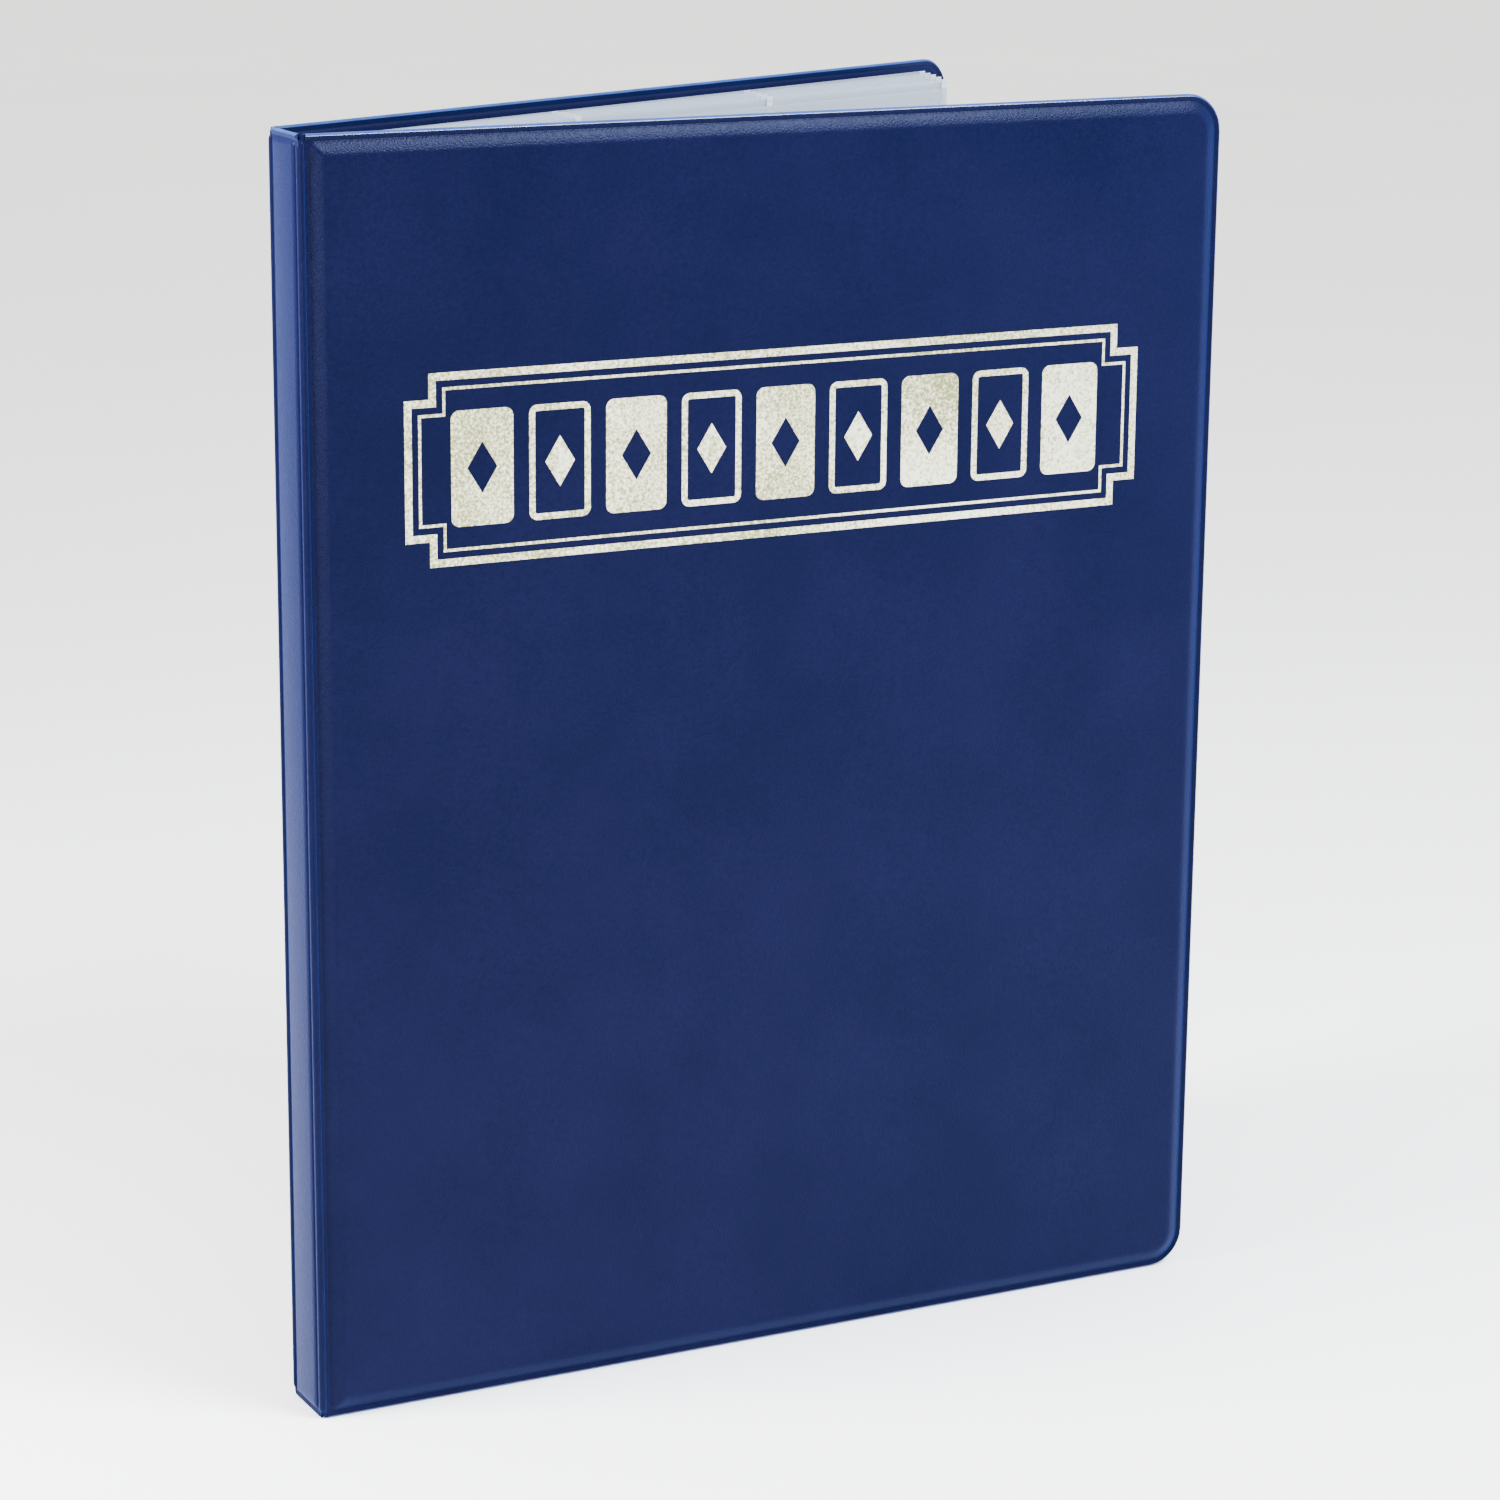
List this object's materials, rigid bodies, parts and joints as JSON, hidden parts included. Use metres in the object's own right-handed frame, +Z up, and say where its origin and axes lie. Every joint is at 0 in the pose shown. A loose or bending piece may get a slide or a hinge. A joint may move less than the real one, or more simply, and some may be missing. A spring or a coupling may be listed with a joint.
{
  "type": "trading card binder",
  "caption": "Slim portfolio album for trading cards, with padded vinyl covers on a narrow spine and pages of clear card pockets, standing partly open.",
  "frame": {"origin": "middle of the spine's bottom edge, in the plane where the vinyl sheets are welded", "axes": "+Z up along the spine, +X from the spine into the album, front cover on the -Y side"},
  "size_m": [0.2409, 0.1099, 0.305],
  "materials": {
    "cover_vinyl": "semi-gloss embossed vinyl, navy blue",
    "liner_vinyl": "satin vinyl, navy blue",
    "greyboard": "uncoated grey board",
    "foam": "thin white foam",
    "gold_foil": "hot-stamped pale gold foil",
    "pocket_film": "milky clear polypropylene film",
    "film_weld": "welded polypropylene, ribbed",
    "binding_vinyl": "satin vinyl strip"
  },
  "bodies": {
    "spine": {"back_hinge_fold": "cover_vinyl", "binding_strip": "binding_vinyl", "front_hinge_fold": "cover_vinyl", "page_margins": "film_weld", "spine_board": "greyboard", "spine_liner": "liner_vinyl", "spine_outer_skin": "cover_vinyl"},
    "front_cover": {"front_cover_board": "greyboard", "front_cover_foam_pad": "foam", "front_cover_foil_stamp": "gold_foil", "front_cover_liner": "liner_vinyl", "front_cover_outer_skin": "cover_vinyl"},
    "back_cover": {"back_cover_board": "greyboard", "back_cover_foam_pad": "foam", "back_cover_liner": "liner_vinyl", "back_cover_outer_skin": "cover_vinyl"},
    "page_01": {"page_01_back_film": "pocket_film", "page_01_pocket_fronts": "pocket_film", "page_01_welds": "film_weld"},
    "page_02": {"page_02_back_film": "pocket_film", "page_02_pocket_fronts": "pocket_film", "page_02_welds": "film_weld"},
    "page_03": {"page_03_back_film": "pocket_film", "page_03_pocket_fronts": "pocket_film", "page_03_welds": "film_weld"},
    "page_04": {"page_04_back_film": "pocket_film", "page_04_pocket_fronts": "pocket_film", "page_04_welds": "film_weld"},
    "page_05": {"page_05_back_film": "pocket_film", "page_05_pocket_fronts": "pocket_film", "page_05_welds": "film_weld"},
    "page_06": {"page_06_back_film": "pocket_film", "page_06_pocket_fronts": "pocket_film", "page_06_welds": "film_weld"},
    "page_07": {"page_07_back_film": "pocket_film", "page_07_pocket_fronts": "pocket_film", "page_07_welds": "film_weld"},
    "page_08": {"page_08_back_film": "pocket_film", "page_08_pocket_fronts": "pocket_film", "page_08_welds": "film_weld"},
    "page_09": {"page_09_back_film": "pocket_film", "page_09_pocket_fronts": "pocket_film", "page_09_welds": "film_weld"},
    "page_10": {"page_10_back_film": "pocket_film", "page_10_pocket_fronts": "pocket_film", "page_10_welds": "film_weld"}
  },
  "joints": [
    {"name": "front_hinge", "type": "hinge", "parent": "spine", "child": "front_cover", "pos_m": [0, -0.00825, 0], "axis": [0, 0, 1], "range_deg": [-179, 1]},
    {"name": "back_hinge", "type": "hinge", "parent": "spine", "child": "back_cover", "pos_m": [0, 0.00825, 0], "axis": [0, 0, 1], "range_deg": [-21, 69]},
    {"name": "page_01_hinge", "type": "hinge", "parent": "spine", "child": "page_01", "pos_m": [0.003, -0.00495, 0], "axis": [0, 0, 1], "range_deg": [-86.12, 0.68]},
    {"name": "page_02_hinge", "type": "hinge", "parent": "spine", "child": "page_02", "pos_m": [0.004, -0.00385, 0], "axis": [0, 0, 1], "range_deg": [-68.22, 0.58]},
    {"name": "page_03_hinge", "type": "hinge", "parent": "spine", "child": "page_03", "pos_m": [0.005, -0.00275, 0], "axis": [0, 0, 1], "range_deg": [-50.32, 0.48]},
    {"name": "page_04_hinge", "type": "hinge", "parent": "spine", "child": "page_04", "pos_m": [0.006, -0.00165, 0], "axis": [0, 0, 1], "range_deg": [-32.42, 0.38]},
    {"name": "page_05_hinge", "type": "hinge", "parent": "spine", "child": "page_05", "pos_m": [0.007, -0.00055, 0], "axis": [0, 0, 1], "range_deg": [-14.52, 0.28]},
    {"name": "page_06_hinge", "type": "hinge", "parent": "spine", "child": "page_06", "pos_m": [0.007, 0.00055, 0], "axis": [0, 0, 1], "range_deg": [-20.7, 67.56]},
    {"name": "page_07_hinge", "type": "hinge", "parent": "spine", "child": "page_07", "pos_m": [0.006, 0.00165, 0], "axis": [0, 0, 1], "range_deg": [-20.7, 67.56]},
    {"name": "page_08_hinge", "type": "hinge", "parent": "spine", "child": "page_08", "pos_m": [0.005, 0.00275, 0], "axis": [0, 0, 1], "range_deg": [-20.7, 67.56]},
    {"name": "page_09_hinge", "type": "hinge", "parent": "spine", "child": "page_09", "pos_m": [0.004, 0.00385, 0], "axis": [0, 0, 1], "range_deg": [-20.7, 67.56]},
    {"name": "page_10_hinge", "type": "hinge", "parent": "spine", "child": "page_10", "pos_m": [0.003, 0.00495, 0], "axis": [0, 0, 1], "range_deg": [-20.7, 67.56]}
  ],
  "couplings": [
    {"joint": "page_01_hinge", "follows": "front_hinge", "ratio": 0.48},
    {"joint": "page_02_hinge", "follows": "front_hinge", "ratio": 0.38},
    {"joint": "page_03_hinge", "follows": "front_hinge", "ratio": 0.28},
    {"joint": "page_04_hinge", "follows": "front_hinge", "ratio": 0.18},
    {"joint": "page_05_hinge", "follows": "front_hinge", "ratio": 0.08},
    {"joint": "page_06_hinge", "follows": "back_hinge", "ratio": 0.97619},
    {"joint": "page_07_hinge", "follows": "back_hinge", "ratio": 0.97619},
    {"joint": "page_08_hinge", "follows": "back_hinge", "ratio": 0.97619},
    {"joint": "page_09_hinge", "follows": "back_hinge", "ratio": 0.97619},
    {"joint": "page_10_hinge", "follows": "back_hinge", "ratio": 0.97619}
  ]
}
